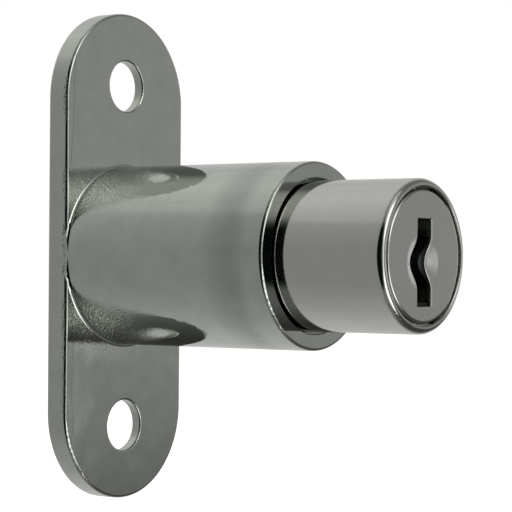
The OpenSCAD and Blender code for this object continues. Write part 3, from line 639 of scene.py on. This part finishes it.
# The cap's wear. A scratch is a noise of SCRATCH_SIZE, drawn out along its way. Real ones
# are a few hundredths of a millimetre wide and wouldn't show, so these are drawn coarser.
SPECK_SIZE = 0.35 * MM
SPECK_EDGE = {"From Min": 0.7, "From Max": 0.76}
SCRATCH_SIZE = 0.12 * MM
SCRATCH_EDGE = {"From Min": 0.74, "From Max": 0.8}
SCRATCH_STRETCH = (0.08, 1, 1)
SCRATCH_LEANS = {35: 3 * MM, -60: 8 * MM}
WEAR_HEIGHT = -0.006
WEAR_DULL = 0.2


def sheet_marks(tree, where):
    """Wear on the cap: sparse fine scratches that lean two ways, and a few small specks.
    Each lean has its own shift, so that the two sets of scratches differ."""
    speck = add(tree, "ShaderNodeTexNoise",
                {"Vector": where, "Scale": 1 / SPECK_SIZE, "Detail": 2.0}).outputs[0]
    marks = add(tree, "ShaderNodeMapRange", {"Value": speck, **SPECK_EDGE}).outputs[0]
    for lean, shift in SCRATCH_LEANS.items():
        way = add(tree, "ShaderNodeMapping", {"Vector": where, "Location": (shift, 0, shift),
                                              "Rotation": (0, math.radians(lean), 0)}).outputs[0]
        way = add(tree, "ShaderNodeMapping", {"Vector": way, "Scale": SCRATCH_STRETCH}).outputs[0]
        hair = add(tree, "ShaderNodeTexNoise",
                   {"Vector": way, "Scale": 1 / SCRATCH_SIZE, "Detail": 1.0}).outputs[0]
        hair = add(tree, "ShaderNodeMapRange", {"Value": hair, **SCRATCH_EDGE}).outputs[0]
        marks = add(tree, "ShaderNodeMath", {0: marks, 1: hair}, operation="MAXIMUM").outputs[0]
    height = add(tree, "ShaderNodeMath", {0: marks, 1: WEAR_HEIGHT}, operation="MULTIPLY").outputs[0]
    darkening = add(tree, "ShaderNodeMath", {0: marks, 1: WEAR_DULL}, operation="MULTIPLY").outputs[0]
    return height, darkening, 0.0


# Painted shade under the cap's lip, on the wafers and in the keyway: both darken to the right.
WAFER_SHADE_TO_RIGHT = {"From Min": -0.9 * MM, "From Max": -0.2 * MM, "To Min": 0.25, "To Max": 0.85}
KEYWAY_SHADE_TO_RIGHT = {"From Min": -1.0 * MM, "From Max": 0.1 * MM, "To Min": 0.45}
SHADED_LEDGE_BELOW = -5 * MM
SHADED_PLACE_BUMP = 0.001


def wafer_marks(tree, where):
    """Painted shade on the wafers' edges, which darkens them to the right under the cap's lip."""
    parts = add(tree, "ShaderNodeSeparateXYZ", {0: where}).outputs
    painted_wafer_shade = add(tree, "ShaderNodeMapRange", {"Value": parts["X"], **WAFER_SHADE_TO_RIGHT}).outputs[0]
    height = add(tree, "ShaderNodeMath", {0: painted_wafer_shade, 1: SHADED_PLACE_BUMP}, operation="MULTIPLY").outputs[0]
    return height, painted_wafer_shade, 0.0


def core_marks(tree, where):
    """Painted shade in the keyway: darker under the cap's lip, so the guard beside the slot
    darkens to the right, and on the ledge at the keyway's foot."""
    parts = add(tree, "ShaderNodeSeparateXYZ", {0: where}).outputs
    painted_keyway_shade = add(tree, "ShaderNodeMapRange", {"Value": parts["X"], **KEYWAY_SHADE_TO_RIGHT}).outputs[0]
    bowed = add(tree, "ShaderNodeMath", {0: parts["Z"], 1: KEY_MID, 2: BOW_HALF},
                operation="COMPARE").outputs[0]
    painted_keyway_shade = add(tree, "ShaderNodeMath", {0: painted_keyway_shade, 1: bowed}, operation="MULTIPLY").outputs[0]
    ledge = add(tree, "ShaderNodeMath", {0: parts["Z"], 1: SHADED_LEDGE_BELOW}, operation="LESS_THAN").outputs[0]
    painted_keyway_shade = add(tree, "ShaderNodeMath", {0: painted_keyway_shade, 1: ledge}, operation="MAXIMUM").outputs[0]
    height = add(tree, "ShaderNodeMath", {0: painted_keyway_shade, 1: SHADED_PLACE_BUMP}, operation="MULTIPLY").outputs[0]
    return height, painted_keyway_shade, 0.0


place_camera()
white_world()
pale_floor()
soft_lamps()
light_tent()

# How a grain is drawn out. A scale below 1 along a way makes it longer that way: BANDS run
# round the lock's axis, WAVES along it, ROLLED lines up and ACROSS sideways.
EVEN = (1, 1, 1)
BANDS = (0.1, 1, 0.1)
WAVES = (1, 0.3, 1)
ROLLED = (1, 1, 0.2)
ACROSS = (0.2, 1, 1)

# Zinc die casting, polished on a wheel, then nickel-plated: a slightly warm grey mirror, a
# little wavy, with bands round the barrel where the wheel ran, and the casting's grain
# still showing where the wheel couldn't reach, at the foot of the barrel.
casting = metal("nickel_plated_zinc_casting", ("#cfd1cb", "#b8bdb6"), blotch_mm=2.5,
                rough=0.03, rough_spread=0.035,
                bumps=[(8, 0.065, WAVES), (3.5, 0.03, BANDS), (0.4, 0.0012, EVEN)], relief=casting_marks)
# Turned and plated: smoother than the casting, with faint rings left by the turning tool.
turned = metal("nickel_plated_turned_plunger", ("#cccdc9", "#c4c5c1"), blotch_mm=3,
               rough=0.07, rough_spread=0.03,
               bumps=[(6, 0.05, WAVES), (2.5, 0.010, BANDS), (0.3, 0.0008, EVEN)], relief=plunger_marks)
# Thin pressed sheet: satin from the press, with fine scratches and faint ripples.
sheet = metal("pressed_plated_sheet", ("#c8c9c5", "#bdbeba"), blotch_mm=1.5,
              rough=0.10, rough_spread=0.06,
              bumps=[(2.5, 0.010, EVEN), (0.4, 0.0025, EVEN)], relief=sheet_marks)
# The core's casting, plated but not polished: dull, with painted shade that darkens it in its pockets.
zinc_core = metal("plated_zinc_core", ("#8d9a94", "#7e8b85"), blotch_mm=1,
                  rough=0.3, rough_spread=0.12, bumps=[(0.3, 0.002, EVEN)], relief=core_marks)
# Wafers stamped from nickel-silver strip, with the strip's fine rolling lines, and painted shade to the
# right under the cap's lip.
wafer_metal = metal("stamped_nickel_silver", ("#dfe2d3", "#cdd0c1"), blotch_mm=0.8,
                    rough=0.45, rough_spread=0.1, bumps=[(0.2, 0.002, ROLLED)], relief=wafer_marks)
# Drawn wire: a soft grey shine. Its die lines are too fine to see, so a coarser grain
# stands for them.
spring_wire = metal("drawn_spring_wire", ("#8d8e90", "#7c7d80"), blotch_mm=0.5,
                    rough=0.28, rough_spread=0.1, bumps=[(0.1, 0.002, EVEN)])
# Hardened steel, ground across: grey, with fine lines from side to side.
lug_steel = metal("ground_steel", ("#9b9c9e", "#8a8b8d"), blotch_mm=0.8,
                  rough=0.25, rough_spread=0.1, bumps=[(0.15, 0.002, ACROSS)])
# Bar turned bright: a clear shine, with fine rings round its length.
pin_steel = metal("turned_bright_steel", ("#b9babb", "#adaeb0"), blotch_mm=1.2,
                  rough=0.14, rough_spread=0.08, bumps=[(0.12, 0.001, BANDS)])
# Zinc plating with its faint blue and milky patches.
zinc_plate = metal("bright_zinc_plated_steel", ("#b7bcc3", "#a9adb0"), blotch_mm=1.2,
                   rough=0.2, rough_spread=0.1, bumps=[(0.3, 0.002, EVEN)])
# Phosphated black: nearly matt, with a fine crystal grain.
black_steel = metal("phosphated_spring_steel", ("#2c2c2d", "#232324"), blotch_mm=0.6,
                    rough=0.45, rough_spread=0.12, bumps=[(0.12, 0.003, EVEN)])

cap = face_cap()
cap.data.materials.append(sheet)
springs = [coil_spring("return_spring", "lock_body", wire=0.9 * MM, turns=6, upright=False, around=18)]
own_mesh(springs[0])
springs.append(coil_spring("lug_spring", "plunger", wire=0.3 * MM, turns=6, upright=True, around=12))
springs += [coil_spring(f"wafer_spring_{i}", "core", wire=0.2 * MM, turns=5, upright=True, around=10)
            for i in range(1, 7)]
for spring in springs:
    spring.data.materials.append(spring_wire)

FINISHES = {"housing": casting, "plunger": turned, "core_cap": sheet, "lock_core": zinc_core,
            "core_clip": black_steel, "locking_lug": lug_steel, "bolt_pin": pin_steel,
            "rear_cap": zinc_plate, "retaining_ring": black_steel}
for name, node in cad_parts.items():
    node.data.materials.clear()
    node.data.materials.append(FINISHES.get(name, spring_wire if "spring" in name else wafer_metal))

bpy.context.scene.view_settings.view_transform = "Standard"
